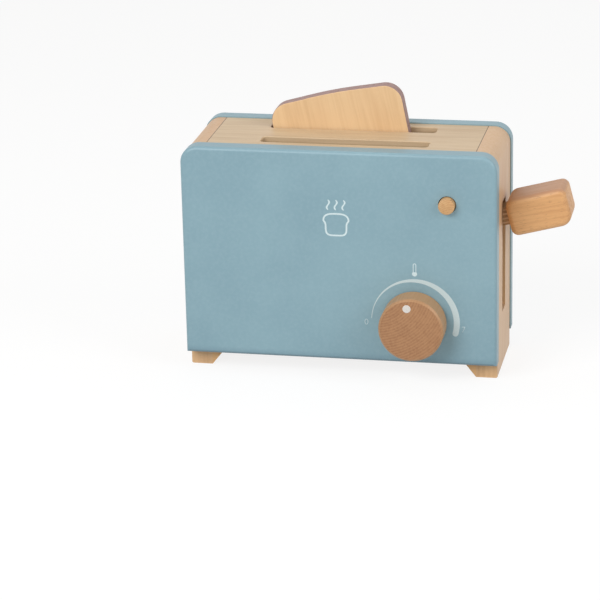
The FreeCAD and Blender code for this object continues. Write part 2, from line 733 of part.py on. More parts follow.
def latch_bar():
    """Plywood rocker: head behind the button, toe with the magnet under the arm."""
    toe_top = MAGNET_TOP
    toe_end = LATCH_FRONT + LATCH_TOE + LATCH_DEPTH / 2
    low = toe_top - LATCH_TOE_HEIGHT
    corners = [(LATCH_FRONT, low), (toe_end, low), (toe_end, toe_top), (LATCH_BACK, toe_top),
               (LATCH_BACK, LATCH_TOP), (LATCH_FRONT, LATCH_TOP)]
    radii = [4, 2, 1, 3, 3, 3]
    face = rounded_outline(corners, radii, "x", BUTTON_X - LATCH_THICK / 2)
    bar = face.extrude(Vector(LATCH_THICK, 0, 0))
    half_lug = LATCH_LUG_WIDTH / 2
    lug = box(BUTTON_X - half_lug, BUTTON_X + half_lug, LATCH_FRONT - LATCH_LUG_REACH,
              LATCH_FRONT + 1, PEG_Z - LATCH_LUG_HEIGHT / 2, PEG_Z + LATCH_LUG_HEIGHT / 2)
    bar = bar.fuse(lug).removeSplitter()
    eye = rod(PEG_RADIUS + GLUE_GAP, (BUTTON_X - LATCH_THICK, PEG_Y, PEG_Z),
              (BUTTON_X + LATCH_THICK, PEG_Y, PEG_Z))
    bore = rod(LATCH_PIN_RADIUS + PIN_GAP, (BUTTON_X - LATCH_THICK, LATCH_PIVOT_Y, LATCH_PIVOT_Z),
               (BUTTON_X + LATCH_THICK, LATCH_PIVOT_Y, LATCH_PIVOT_Z))
    seat = rod(MAGNET_RADIUS + GLUE_GAP, (BUTTON_X, MAGNET_Y, MAGNET_TOP - MAGNET_THICK),
               (BUTTON_X, MAGNET_Y, MAGNET_TOP + 1))
    return cut_all(bar, [eye, bore, seat])


def latch_spring_peg():
    end = BUTTON_X + LATCH_LUG_WIDTH / 2 + END_GAP
    return rod(PEG_RADIUS, (LATCH_SPRING_X + LATCH_SPRING_SIDE - PEG_REACH, PEG_Y, PEG_Z),
               (end, PEG_Y, PEG_Z))


def catch_magnet():
    disc = rod(MAGNET_RADIUS, (BUTTON_X, MAGNET_Y, MAGNET_TOP - MAGNET_THICK),
               (BUTTON_X, MAGNET_Y, MAGNET_TOP))
    return chamfer_where(disc, 0.3, lambda edge: lies_at(edge, "Z", MAGNET_TOP))


def strike_plate():
    """Steel keeper under the arm that the magnet holds when the lever is down."""
    half = STRIKE_LENGTH / 2
    front = -ARM_WIDTH / 2
    corners = [(STRIKE_ALONG - half, front), (STRIKE_ALONG + half, front),
               (STRIKE_ALONG + half, front + STRIKE_WIDTH), (STRIKE_ALONG - half, front + STRIKE_WIDTH)]
    plate = rounded_outline(corners, [2] * 4, "z", ARM_UNDER - STRIKE_THICK)
    return at_lever(plate.extrude(Vector(0, 0, STRIKE_THICK)))


def latch_bracket():
    """Bent steel bracket on the front panel that carries the latch pin."""
    back = -HALF_INNER
    half = LATCH_BASE_LENGTH / 2
    base = box(BUTTON_X - half, BUTTON_X + half, back, back + BRACKET_THICK,
               LATCH_PIVOT_Z - LATCH_EAR_RADIUS, LATCH_PIVOT_Z + LATCH_EAR_RADIUS)
    base = fillet_where(base, 2.0, lambda edge: edge.BoundBox.YLength > 1
                        and edge.BoundBox.XLength < 0.01 and edge.BoundBox.ZLength < 0.01)
    solids = [base]
    for side in (-1, 1):
        low = BUTTON_X + min(side * LATCH_EAR_INNER, side * LATCH_EAR_OUTER)
        arm = box(low, low + BRACKET_THICK, back, LATCH_PIVOT_Y, LATCH_PIVOT_Z - LATCH_EAR_RADIUS,
                  LATCH_PIVOT_Z + LATCH_EAR_RADIUS)
        nose = rod(LATCH_EAR_RADIUS, (low, LATCH_PIVOT_Y, LATCH_PIVOT_Z),
                   (low + BRACKET_THICK, LATCH_PIVOT_Y, LATCH_PIVOT_Z))
        solids += [arm, nose]
    body = solids[0].fuse(solids[1:]).removeSplitter()
    bore = rod(LATCH_PIN_RADIUS + GLUE_GAP, (BUTTON_X - half, LATCH_PIVOT_Y, LATCH_PIVOT_Z),
               (BUTTON_X + half, LATCH_PIVOT_Y, LATCH_PIVOT_Z))
    return cut_all(body, [bore] + screw_tools([((x, y + 1, z), way) for (x, y, z), way
                                               in LATCH_SCREWS]))


def latch_pin():
    return headed_pin(LATCH_PIN_RADIUS, LATCH_PIN_HEAD_RADIUS, LATCH_PIN_HEAD_THICK,
                      (BUTTON_X - LATCH_EAR_OUTER, LATCH_PIVOT_Y, LATCH_PIVOT_Z),
                      (BUTTON_X + LATCH_EAR_OUTER, LATCH_PIVOT_Y, LATCH_PIVOT_Z))


def release_button():
    """Turned dowel button: bevelled cap, collar behind the panel, stem to the latch."""
    cap_front = FRONT_FACE - BUTTON_PROUD
    collar_front = -HALF_INNER + RUN_GAP
    profile = [(0, cap_front), (BUTTON_RADIUS - BUTTON_EDGE, cap_front),
               (BUTTON_RADIUS, cap_front + BUTTON_EDGE), (BUTTON_RADIUS, collar_front),
               (COLLAR_RADIUS, collar_front), (COLLAR_RADIUS, collar_front + COLLAR_THICK),
               (STEM_RADIUS, collar_front + COLLAR_THICK),
               (STEM_RADIUS, LATCH_FRONT - RUN_GAP - STEM_DOME / 2),
               (STEM_RADIUS - STEM_DOME, LATCH_FRONT - RUN_GAP), (0, LATCH_FRONT - RUN_GAP)]
    return turned(profile, BUTTON_X, BUTTON_Z)


def turned(profile, x, z):
    """A solid of revolution about the line along Y through x, z. Points are (radius, y)."""
    points = [Vector(x + radius, y, z) for radius, y in profile]
    wire = Part.makePolygon(points + [points[0]])
    return Part.Face(wire).revolve(Vector(x, 0, z), Vector(0, 1, 0), 360)


def toasting_knob():
    back = FRONT_FACE - RUN_GAP
    front = back - KNOB_THICK
    profile = [(0, front), (KNOB_RADIUS - KNOB_EDGE, front), (KNOB_RADIUS, front + KNOB_EDGE),
               (KNOB_RADIUS, back - 0.6), (KNOB_RADIUS - 0.6, back),
               (AXLE_RADIUS + GLUE_GAP, back), (AXLE_RADIUS + GLUE_GAP, back - AXLE_SOCKET),
               (0, back - AXLE_SOCKET)]
    return turned(profile, KNOB_X, KNOB_Z)


def knob_axle():
    start = FRONT_FACE - RUN_GAP - AXLE_SOCKET + END_GAP
    end = -HALF_INNER + RUN_GAP
    axle = rod(AXLE_RADIUS, (KNOB_X, start, KNOB_Z), (KNOB_X, end, KNOB_Z))
    return cut_all(axle, screw_tools(KNOB_SCREW))


def knob_washer():
    start = -HALF_INNER + RUN_GAP
    ring = rod(AXLE_RADIUS * 2, (KNOB_X, start, KNOB_Z), (KNOB_X, start + WASHER_THICK, KNOB_Z))
    return cut_all(ring, screw_tools([((KNOB_X, start + WASHER_THICK + 1, KNOB_Z), (0, -1, 0))]))


def slice_outline():
    """Bread outline in the lever's frame: tapered sides, rounded shoulders, low crown."""
    left = SLICE_START
    right = SLICE_START + SLICE_WIDTH
    low = TRAY_TOP + RUN_GAP
    high = low + SLICE_HEIGHT
    middle = (left + right) / 2
    corners = [(left + SLICE_TAPER, low), (right - SLICE_TAPER, low), (right, high - SLICE_CROWN),
               (middle, high), (left, high - SLICE_CROWN)]
    radii = [SLICE_FOOT_CORNER, SLICE_FOOT_CORNER, SLICE_TOP_CORNER,
             SLICE_WIDTH * 3, SLICE_TOP_CORNER]
    return rounded_outline(corners, radii, "y", TOAST_SLOT_Y - SLICE_THICK / 2)


def toast_slice():
    loaf = slice_outline().extrude(Vector(0, SLICE_THICK, 0))
    faces = (TOAST_SLOT_Y - SLICE_THICK / 2, TOAST_SLOT_Y + SLICE_THICK / 2)
    loaf = fillet_where(loaf, SLICE_EDGE, lambda edge: lies_at(edge, "Y", faces[0])
                        or lies_at(edge, "Y", faces[1]))
    return at_lever(loaf)


def build():
    """Every piece of the toaster by name. A list is a group of like pieces."""
    return {
        "front_panel": front_panel(),
        "rear_panel": rear_panel(),
        "left_upright": left_upright(),
        "right_upright": right_upright(),
        "left_foot_block": foot_block(-1),
        "right_foot_block": foot_block(1),
        "top_board": top_board(),
        "floor_board": floor_board(),
        "slot_divider": slot_divider(),
        "front_dowels": dowels(dowel_places(-1)),
        "rear_dowels": dowels(dowel_places(1)),
        "top_dowels": dowels(top_dowel_places()),
        "pivot_bracket": pivot_bracket(),
        "pivot_bracket_screws": screws(BRACKET_SCREWS),
        "pivot_pin": pivot_pin(),
        "pivot_washers": pivot_washers(),
        "top_screw_eye": top_screw_eye(),
        "return_spring": return_spring(),
        "lever_board": lever_board(),
        "lever_hanger": lever_hanger(),
        "toast_tray": toast_tray(),
        "lever_screws": lever_screws(),
        "lever_screw_eye": lever_screw_eye(),
        "lever_handle": lever_handle(),
        "strike_plate": strike_plate(),
        "latch_bracket": latch_bracket(),
        "latch_bracket_screws": screws(LATCH_SCREWS),
        "latch_pin": latch_pin(),
        "latch_screw_eye": latch_screw_eye(),
        "latch_spring": latch_spring(),
        "latch_spring_peg": latch_spring_peg(),
        "latch_bar": latch_bar(),
        "catch_magnet": catch_magnet(),
        "release_button": release_button(),
        "toasting_knob": toasting_knob(),
        "knob_axle": knob_axle(),
        "knob_washer": knob_washer(),
        "knob_screw": screws(KNOB_SCREW),
        "toast_slice": toast_slice(),
    }


def as_shape(piece):
    if isinstance(piece, list):
        return piece[0] if len(piece) == 1 else Part.makeCompound(piece)
    return piece


def origin_shift(shapes):
    """From the layout's centre to the bottom centre of the whole toy."""
    whole = FreeCAD.BoundBox()
    for shape in shapes:
        whole.add(shape.optimalBoundingBox())
    return Vector(-whole.Center.x, -whole.Center.y, -whole.ZMin)


def main():
    os.makedirs("parts", exist_ok=True)
    shapes = {name: as_shape(piece) for name, piece in build().items()}
    shift = origin_shift(shapes.values())
    print("origin shift", [round(value, 4) for value in shift])
    for name, shape in shapes.items():
        shape.translate(shift)
        shape.exportStep("parts/" + name + ".step")
        print(name, len(shape.Solids), "valid", shape.isValid(), round(shape.Volume, 1))


main()
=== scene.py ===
import math

import bmesh
import bpy
from mathutils import Matrix, Vector


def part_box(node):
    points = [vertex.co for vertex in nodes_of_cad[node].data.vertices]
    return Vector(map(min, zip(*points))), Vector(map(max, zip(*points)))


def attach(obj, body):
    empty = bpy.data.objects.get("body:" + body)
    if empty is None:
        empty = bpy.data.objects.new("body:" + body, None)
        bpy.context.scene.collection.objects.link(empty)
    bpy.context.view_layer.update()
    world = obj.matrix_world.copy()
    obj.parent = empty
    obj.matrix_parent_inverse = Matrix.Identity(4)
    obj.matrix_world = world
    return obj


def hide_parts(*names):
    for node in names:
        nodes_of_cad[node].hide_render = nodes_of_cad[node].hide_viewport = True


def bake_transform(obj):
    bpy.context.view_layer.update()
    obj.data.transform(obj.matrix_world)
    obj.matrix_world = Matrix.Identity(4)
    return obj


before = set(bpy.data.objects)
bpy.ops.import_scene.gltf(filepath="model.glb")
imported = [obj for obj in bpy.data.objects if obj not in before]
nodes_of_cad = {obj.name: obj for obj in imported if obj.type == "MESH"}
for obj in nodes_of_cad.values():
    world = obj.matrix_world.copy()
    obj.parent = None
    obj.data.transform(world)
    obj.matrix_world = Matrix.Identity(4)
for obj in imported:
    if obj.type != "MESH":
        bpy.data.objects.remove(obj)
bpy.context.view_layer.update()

MM = 0.001
NEAR = 0.1 * MM
QUARTER = math.pi / 2

# The panels give the middle of the body, from which the prints are placed.
panel_low, panel_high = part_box("front_panel")
back_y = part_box("rear_panel")[1][1]
knob_low, knob_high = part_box("toasting_knob")
top_low, top_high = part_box("top_board")
pin_low, pin_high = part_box("pivot_pin")
slice_low, slice_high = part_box("toast_slice")
grip_low, grip_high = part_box("lever_handle")
button_low, button_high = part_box("release_button")
BODY_X = (panel_low[0] + panel_high[0]) / 2
BODY_Y = (panel_low[1] + back_y) / 2
FACE_Y = panel_low[1]
KNOB_X = (knob_low[0] + knob_high[0]) / 2
KNOB_Z = (knob_low[2] + knob_high[2]) / 2
KNOB_FACE_Y = knob_low[1]
PIVOT = ((pin_low[0] + pin_high[0]) / 2, BODY_Y, (pin_low[2] + pin_high[2]) / 2)
LEVER_TILT = math.radians(12.3)

# Camera, fitted to the body's edges
LENS = 162.24
SENSOR = 36.0
CAMERA_FROM_BODY = (0.3330, -1.7814, 0.6800)
CAMERA_HEADING = math.radians(11.73)
CAMERA_DIP = math.radians(19.41)
CAMERA_ROLL = math.radians(-1.31)

# Prints on the front panel, in millimetres from the body's middle and the floor
INK_THICK = 0.06
INK_STAND_OFF = 0.018
ARC_OUTER_RADIUS = 30.9
ARC_OUTER_SHIFT = 0.7
ARC_INNER_RADIUS = 28.6
ARC_INNER_SHIFT = -1.2
ARC_RISE = 0.4
ARC_START = math.radians(178.0)
ARC_END = math.radians(-14.8)
ZERO_PLACE = (19.3, 41.4)
SEVEN_PLACE = (87.1, 38.9)
DIGIT_SIZE = 6.2
DIGIT_THINNER = 0.12
GAUGE_PLACE = (53.3, 78.1)
GAUGE_BULB = 1.75
GAUGE_TUBE = 1.2
GAUGE_HEIGHT = 7.6
GAUGE_LINE = 0.52
BREAD_PLACE = (-1.0, 111.0)
BREAD_WIDTH = 19.0
BREAD_HEIGHT = 16.0
BREAD_LINE = 1.2
BREAD_SQUARENESS = 0.5
BREAD_HEAD_FROM = 0.45
BREAD_HEAD_BLEND = 0.4
BREAD_WAIST = 0.17
BREAD_DOME = 0.10
BREAD_ROWS = 120
HEAT_PLACE = (-1.0, 125.5)
HEAT_HEIGHT = 7.5
HEAT_SWAY = 0.9
HEAT_LINE = 1.2
HEAT_SPACING = 5.4
HEAT_END_POWER = 8
HEAT_ROWS = 40
ROW_POINT = 0.0005

# Grip, in millimetres, with its corners from the lower left one, against the clock
GRIP_LENGTH = 43.2
GRIP_HEIGHT = 26.9
GRIP_WIDTH = 30.6
GRIP_CORNERS = (5.2, 8.2, 5.0, 7.4)
GRIP_EXTRA_TILT = math.radians(2.3)
GRIP_FRONT_ROUND = 4.0
GRIP_SHIFT = (-0.2, 0.4)

# Button, in millimetres
BUTTON_RADIUS = 5.65
BUTTON_COLLAR = 8.0
BUTTON_COLLAR_THICK = 2.5
BUTTON_STEM = 3.0
BUTTON_BEVEL = 0.7
BUTTON_PLAY = 0.3
BUTTON_TIP = 0.8
BUTTON_TIP_RADIUS = 1.4

# Dot on the knob, in millimetres, with the widths and rises of its raised edge from outside in
DOT_RADIUS = 2.8
DOT_RISE = 0.12
DOT_STEPS = ((0.25, DOT_RISE), (0.75, 0.0), (0.2, -DOT_RISE), (0.35, 0.0), (0.2, DOT_RISE))
DOT_REACH = 16.0
DOT_TURN = math.radians(9.0)

# Floor, room and slot walls
FLOOR_SIZE = 24.0
FLOOR_GREY = (0.70, 0.70, 0.70, 1)
FLOOR_GLOW = 1.12
FLOOR_GLOW_SHARE = 0.75
ROOM_TINT = (1.0, 0.99, 0.97, 1)
ROOM_POWER = 0.36
WHITE = (1, 1, 1, 1)
# Depth below the top board's surface where the painted shade on the slot walls begins.
SLOT_SHADE_DEPTH = 2.6 * MM


# Materials
def tint(red, green, blue):
    """A colour written as screen values from 0 to 255, as the linear colour that shaders use."""
    channels = []
    for value in (red, green, blue):
        part = value / 255
        channels.append(part / 12.92 if part <= 0.04045 else ((part + 0.055) / 1.055) ** 2.4)
    return (*channels, 1.0)


def darker(colour, share):
    return tuple(value * share for value in colour[:3]) + (1.0,)


WORN_PAINT = tint(170, 196, 203)

class Finish:
    """A material being mixed: its nodes, its shader and the coordinates it lies on."""

    def __init__(self, name, roughness, metallic=0.0, coat=0.0):
        self.material = bpy.data.materials.new(name)
        self.material.use_nodes = True
        tree = self.material.node_tree
        self.nodes = tree.nodes
        self.links = tree.links
        self.shader = self.nodes["Principled BSDF"]
        self.shader.inputs["Roughness"].default_value = roughness
        self.shader.inputs["Metallic"].default_value = metallic
        self.shader.inputs["Coat Weight"].default_value = coat
        self.shader.inputs["Coat Roughness"].default_value = 0.25
        lay = self.nodes.new("ShaderNodeTexCoord")
        self.object_place = lay.outputs["Object"]
        self.object_normal = lay.outputs["Normal"]

    def set_input(self, socket, value):
        if isinstance(value, bpy.types.NodeSocket):
            self.links.new(value, socket)
        else:
            socket.default_value = value

    def moved(self, place, centre=(0, 0, 0), turn=(0, 0, 0), stretch=(1, 1, 1)):
        """The place seen from centre, turned, and then stretched along each axis."""
        shift = self.nodes.new("ShaderNodeMapping")
        shift.inputs["Location"].default_value = [-value for value in centre]
        self.links.new(place, shift.inputs["Vector"])
        spin = self.nodes.new("ShaderNodeMapping")
        spin.inputs["Rotation"].default_value = turn
        self.links.new(shift.outputs["Vector"], spin.inputs["Vector"])
        scale = self.nodes.new("ShaderNodeMapping")
        scale.inputs["Scale"].default_value = stretch
        self.links.new(spin.outputs["Vector"], scale.inputs["Vector"])
        return scale.outputs["Vector"]

    def noise(self, place, scale, detail=3.0):
        node = self.nodes.new("ShaderNodeTexNoise")
        self.links.new(place, node.inputs["Vector"])
        node.inputs["Scale"].default_value = scale
        node.inputs["Detail"].default_value = detail
        node.inputs["Roughness"].default_value = 0.55
        return node.outputs["Fac"]

    def rings(self, place, spacing, bend, waver):
        """Growth rings about the X axis, a given distance apart."""
        node = self.nodes.new("ShaderNodeTexWave")
        node.wave_type = "RINGS"
        node.rings_direction = "X"
        node.wave_profile = "SAW"
        self.links.new(place, node.inputs["Vector"])
        node.inputs["Scale"].default_value = math.pi / (10 * spacing)
        node.inputs["Distortion"].default_value = bend
        node.inputs["Detail"].default_value = 2.0
        node.inputs["Detail Scale"].default_value = waver
        return node.outputs["Fac"]

    def spread(self, value, low, high, floor=0.0, ceiling=1.0):
        """The value's range from low to high, spread over floor to ceiling."""
        node = self.nodes.new("ShaderNodeMapRange")
        node.interpolation_type = "SMOOTHSTEP"
        self.set_input(node.inputs["Value"], value)
        for name, number in (("From Min", low), ("From Max", high), ("To Min", floor),
                             ("To Max", ceiling)):
            node.inputs[name].default_value = number
        return node.outputs["Result"]

    def sum_of(self, operation, first, second=0.0):
        node = self.nodes.new("ShaderNodeMath")
        node.operation = operation
        self.set_input(node.inputs[0], first)
        self.set_input(node.inputs[1], second)
        return node.outputs["Value"]

    def blend(self, factor, first, second):
        """The first colour where factor is 0, and the second where it is 1."""
        node = self.nodes.new("ShaderNodeMix")
        node.data_type = "RGBA"
        self.set_input(node.inputs["Factor"], factor)
        self.set_input(node.inputs["A"], first)
        self.set_input(node.inputs["B"], second)
        return node.outputs["Result"]

    def axes_of(self, place):
        """A place's or a direction's X, Y and Z, by name."""
        node = self.nodes.new("ShaderNodeSeparateXYZ")
        self.links.new(place, node.inputs["Vector"])
        return node.outputs

    def colour(self, value):
        self.set_input(self.shader.inputs["Base Color"], value)

    def roughness(self, value):
        self.set_input(self.shader.inputs["Roughness"], value)

    def relief(self, height, depth):
        """Bump from a height of 0 to 1, as deep as depth in metres."""
        node = self.nodes.new("ShaderNodeBump")
        node.inputs["Strength"].default_value = 0.6
        node.inputs["Distance"].default_value = depth
        self.links.new(height, node.inputs["Height"])
        self.links.new(node.outputs["Normal"], self.shader.inputs["Normal"])


def wood(name, pale, deep, turn=(0, 0, 0), centre=(0, 0, 0), ring_space=2.4 * MM, ring_share=0.5,
         fleck_share=0.35, seams=(), side_colour=None, painted_top_shade=None, painted_shade_below=None):
    """Lacquered wood. The grain runs along X once the piece is turned, about centre's line.

    Seams are dark joint lines across X. The sides turned away from Y may have a colour of their
    own. The top may take a darker colour as painted shade, and the cut walls get painted shade
    below a given height.
    """
    roughness = 0.46
    finish = Finish(name, roughness, coat=0.06)
    length = finish.moved(finish.object_place, centre, turn)
    broad = finish.noise(finish.moved(length, stretch=(0.22, 1, 1)), 34.0, detail=4.0)
    streak = finish.noise(finish.moved(length, stretch=(0.05, 1, 1)), 520.0)
    pore = finish.noise(finish.moved(length, stretch=(0.07, 1, 1)), 2600.0, detail=2.0)
    ring = finish.rings(length, ring_space, 1.6, 9.0)
    tone = finish.sum_of("MULTIPLY", finish.spread(ring, 0.1, 1.0), ring_share)
    if side_colour:
        facing = finish.sum_of("ABSOLUTE", finish.axes_of(finish.object_normal)["Y"])
        tone = finish.sum_of("MULTIPLY", tone, finish.spread(facing, 0.5, 0.9, 0.22, 1.0))
    tone = finish.sum_of("ADD", tone, finish.spread(broad, 0.3, 0.7, 0.0, 0.34))
    tone = finish.sum_of("ADD", tone, finish.spread(streak, 0.35, 0.72, 0.0, 0.30))
    base = finish.blend(finish.spread(tone, 0.05, 1.05), pale, deep)
    fleck = finish.spread(pore, 0.60, 0.72, 0.0, fleck_share)
    base = finish.blend(fleck, base, darker(deep, 0.62))
    for seam_x in seams:
        reach = finish.axes_of(finish.object_place)["X"]
        away = finish.sum_of("ABSOLUTE", finish.sum_of("SUBTRACT", reach, seam_x))
        line = finish.spread(away, 0.3 * MM, 0.65 * MM, 1.0, 0.0)
        base = finish.blend(line, base, tint(88, 60, 40))
    if side_colour:
        base = finish.blend(finish.spread(facing, 0.5, 0.9, 0.6, 0.0), base, side_colour)
    # Painted shade: below the given height the slot walls darken, standing in for the shade deep
    # inside the slots.
    if painted_shade_below:
        height = finish.axes_of(finish.object_place)["Z"]
        painted_slot_shade = finish.spread(height, painted_shade_below - 2.4 * MM, painted_shade_below, 0.6, 0.0)
        base = finish.blend(painted_slot_shade, base, tint(138, 108, 74))
    # Painted shade: faces turned up take a darker colour, standing in for the top catching less light
    # than the front.
    if painted_top_shade:
        upward = finish.axes_of(finish.object_normal)["Z"]
        base = finish.blend(finish.spread(upward, 0.35, 0.85, 0.0, 0.75), base, painted_top_shade)
    finish.colour(base)
    finish.roughness(finish.spread(streak, 0.3, 0.7, roughness - 0.05, roughness + 0.08))
    finish.relief(pore, 0.05 * MM)
    return finish.material


def plywood(name, centre, turn, ply, pale, deep):
    """Birch plies glued crosswise. The layers lie across Z once the piece is turned."""
    finish = Finish(name, 0.58)
    place = finish.moved(finish.object_place, centre, turn)
    height = finish.axes_of(place)["Z"]
    level = finish.sum_of("DIVIDE", height, 2 * ply)
    part = finish.sum_of("FRACT", level)
    centre_of_ply = finish.sum_of("ABSOLUTE", finish.sum_of("SUBTRACT", part, 0.5))
    layer = finish.spread(centre_of_ply, 0.22, 0.28)
    glue = finish.sum_of("ABSOLUTE", finish.sum_of("SUBTRACT", centre_of_ply, 0.25))
    along = finish.noise(finish.moved(place, stretch=(0.05, 1, 1)), 900.0)
    across = finish.noise(finish.moved(place, stretch=(1, 0.05, 1)), 900.0)
    light = finish.blend(finish.spread(along, 0.3, 0.75), pale, deep)
    shade = finish.blend(finish.spread(across, 0.3, 0.7), deep, darker(deep, 0.72))
    base = finish.blend(layer, light, shade)
    base = finish.blend(finish.spread(glue, 0.01, 0.05, 0.5, 0.0), base, tint(104, 72, 44))
    finish.colour(base)
    finish.relief(along, 0.06 * MM)
    return finish.material


def satin_paint(name, body, deep, low_edge):
    """Sprayed satin paint on wood, a little uneven, with a faint orange peel, and painted shade on the
    faces turned down and towards the low edge.
    """
    finish = Finish(name, 0.40, coat=0.04)
    cloud = finish.noise(finish.object_place, 16.0)
    speck = finish.noise(finish.object_place, 420.0, detail=2.0)
    base = finish.blend(finish.spread(cloud, 0.3, 0.7), body, deep)
    base = finish.blend(finish.spread(speck, 0.35, 0.75, 0.0, 0.10), base, WORN_PAINT)
    # Painted shade: faces turned down darken, standing in for the shade under the panel's lower
    # rounding.
    upward = finish.axes_of(finish.object_normal)["Z"]
    under = finish.spread(upward, -0.75, -0.05, 0.55, 0.0)
    base = finish.blend(under, base, tint(84, 108, 120))
    # Painted shade: the paint darkens towards the panel's bottom edge, standing in for the shade
    # there.
    height = finish.axes_of(finish.object_place)["Z"]
    low = finish.spread(height, low_edge + 2.0 * MM, low_edge + 6.5 * MM, 0.3, 0.0)
    base = finish.blend(low, base, tint(92, 122, 138))
    finish.colour(base)
    finish.roughness(finish.spread(speck, 0.3, 0.7, 0.37, 0.45))
    peel = finish.noise(finish.object_place, 700.0, detail=2.0)
    finish.relief(peel, 0.035 * MM)
    return finish.material


def ink(name, body):
    """Screen-printed ink, a little thin where the screen left it."""
    finish = Finish(name, 0.5)
    thin = finish.noise(finish.object_place, 1100.0, detail=2.0)
    gap = finish.spread(thin, 0.35, 0.75, 0.0, 0.35)
    finish.colour(finish.blend(gap, body, WORN_PAINT))
    finish.relief(thin, 0.01 * MM)
    return finish.material


def toast_finish(name):
    """Pale sanded wood on the two faces and crust paint on the rim."""
    finish = Finish(name, 0.55)
    turn = (0, LEVER_TILT - QUARTER, 0)
    length = finish.moved(finish.object_place, PIVOT, turn)
    broad = finish.noise(finish.moved(length, stretch=(0.3, 1, 1)), 30.0)
    streak = finish.noise(finish.moved(length, stretch=(0.05, 1, 1)), 420.0)
    face = finish.blend(finish.spread(broad, 0.3, 0.7), tint(232, 198, 153), tint(224, 187, 142))
    face = finish.blend(finish.spread(streak, 0.35, 0.8, 0.0, 0.4), face, tint(206, 166, 120))
    rough_edge = finish.noise(finish.object_place, 260.0, detail=2.0)
    middle = (slice_low[1] + slice_high[1]) / 2
    half = (slice_high[1] - slice_low[1]) / 2
    across = finish.axes_of(finish.object_place)["Y"]
    away = finish.sum_of("ABSOLUTE", finish.sum_of("SUBTRACT", across, middle))
    edge = finish.sum_of("ADD", away, finish.spread(rough_edge, 0.3, 0.7, 0.0, 0.12 * MM))
    paint = finish.spread(edge, half - 0.18 * MM, half - 0.05 * MM, 1.0, 0.0)
    crust = finish.blend(finish.spread(rough_edge, 0.3, 0.7), tint(163, 132, 127),
                         tint(150, 118, 112))
    finish.colour(finish.blend(paint, face, crust))
    finish.relief(streak, 0.05 * MM)
    return finish.material


def metal(name, body, roughness):
    """Plated steel with fine drawing marks."""
    finish = Finish(name, roughness, metallic=1.0)
    mark = finish.noise(finish.object_place, 1400.0)
    smear = finish.noise(finish.object_place, 60.0)
    finish.colour(finish.blend(finish.spread(smear, 0.3, 0.75), body, darker(body, 0.78)))
    finish.roughness(finish.spread(mark, 0.3, 0.7, roughness - 0.06, roughness + 0.12))
    finish.relief(mark, 0.01 * MM)
    return finish.material


def nylon(name):
    """Milky plastic that lets a little light in."""
    finish = Finish(name, 0.5)
    fog = finish.noise(finish.object_place, 300.0)
    finish.colour(finish.blend(finish.spread(fog, 0.3, 0.7), tint(236, 233, 222),
                               tint(224, 220, 206)))
    finish.shader.inputs["Subsurface Weight"].default_value = 0.1
    finish.shader.inputs["Subsurface Scale"].default_value = 1.0 * MM
    finish.relief(fog, 0.01 * MM)
    return finish.material


left_wood = wood("left_upright_wood", tint(220, 180, 136), tint(198, 154, 112), turn=(0, QUARTER, 0),
                 centre=(-0.14, 0.03, 0), ring_space=3.4 * MM, ring_share=0.22, fleck_share=0.2,
                 side_colour=tint(203, 168, 136))
right_wood = wood("right_upright_wood", tint(224, 184, 138), tint(202, 158, 114),
                  turn=(0, QUARTER, 0), centre=(0.16, -0.02, 0), ring_space=3.4 * MM,
                  ring_share=0.22, fleck_share=0.2, side_colour=tint(207, 175, 143))
foot_wood = wood("foot_wood", tint(228, 182, 128), tint(208, 160, 106), centre=(0, 0.05, 0.04),
                 ring_space=2.8 * MM, ring_share=0.16, fleck_share=0.2)
# The top board's slot walls get painted shade a little below its surface.
top_wood = wood("top_board_wood", tint(210, 185, 151), tint(190, 161, 126),
                centre=(0.02, 0.06, 0.02), ring_space=4.2 * MM, ring_share=0.2, fleck_share=0.18,
                seams=(top_low[0], top_high[0]), painted_shade_below=top_high[2] - SLOT_SHADE_DEPTH)
divider_wood = wood("divider_wood", tint(222, 190, 148), tint(200, 164, 120),
                    centre=(0, 0.03, 0.3), ring_space=3.8 * MM, ring_share=0.35, fleck_share=0.2)
# The handle's top gets painted shade, a darker colour than its front.
handle_wood = wood("handle_beech", tint(222, 170, 115), tint(188, 132, 82), turn=(0, LEVER_TILT, 0),
                   centre=(0.09, -0.06, 0.22), ring_space=2.6 * MM, ring_share=0.05, fleck_share=0.85,
                   painted_top_shade=tint(176, 132, 104))
knob_wood = wood("knob_beech", tint(174, 128, 88), tint(148, 103, 69), turn=(0, 0, -QUARTER),
                 centre=(KNOB_X - 24 * MM, 0, KNOB_Z + 30 * MM), ring_space=1.9 * MM, ring_share=0.38,
                 fleck_share=0.3, side_colour=tint(198, 157, 112))
button_wood = wood("button_beech", tint(216, 176, 124), tint(188, 140, 92), turn=(0, 0, -QUARTER),
                   centre=(0.055, 0, 0.14), ring_space=1.2 * MM, ring_share=0.5, fleck_share=0.3)
hanger_wood = wood("hanger_beech", tint(212, 160, 112), tint(176, 120, 76),
                   turn=(0, QUARTER + LEVER_TILT, 0), centre=(-0.1, 0.03, 0.1), fleck_share=0.5)
dowel_wood = wood("dowel_beech", tint(212, 166, 118), tint(184, 132, 86), turn=(0, 0, QUARTER),
                  centre=(0.01, 0, 0.01), ring_space=1.6 * MM, fleck_share=0.3)
lever_ply = plywood("lever_plywood", PIVOT, (0, LEVER_TILT, 0), 1.55 * MM, tint(226, 192, 148),
                    tint(196, 152, 106))
tray_ply = plywood("tray_plywood", PIVOT, (0, LEVER_TILT, 0), 1.5 * MM, tint(228, 198, 156),
                   tint(204, 166, 120))
floor_ply = plywood("floor_plywood", (0, 0, 15 * MM), (0, 0, 0), 1.5 * MM, tint(226, 194, 150),
                    tint(200, 160, 114))
latch_ply = plywood("latch_plywood", (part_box("latch_bar")[0][0], 0, 0), (0, QUARTER, 0), 1.6 * MM,
                    tint(224, 190, 146), tint(196, 154, 108))
blue_paint = satin_paint("blue_paint", tint(134, 166, 177), tint(127, 159, 171), panel_low[2])
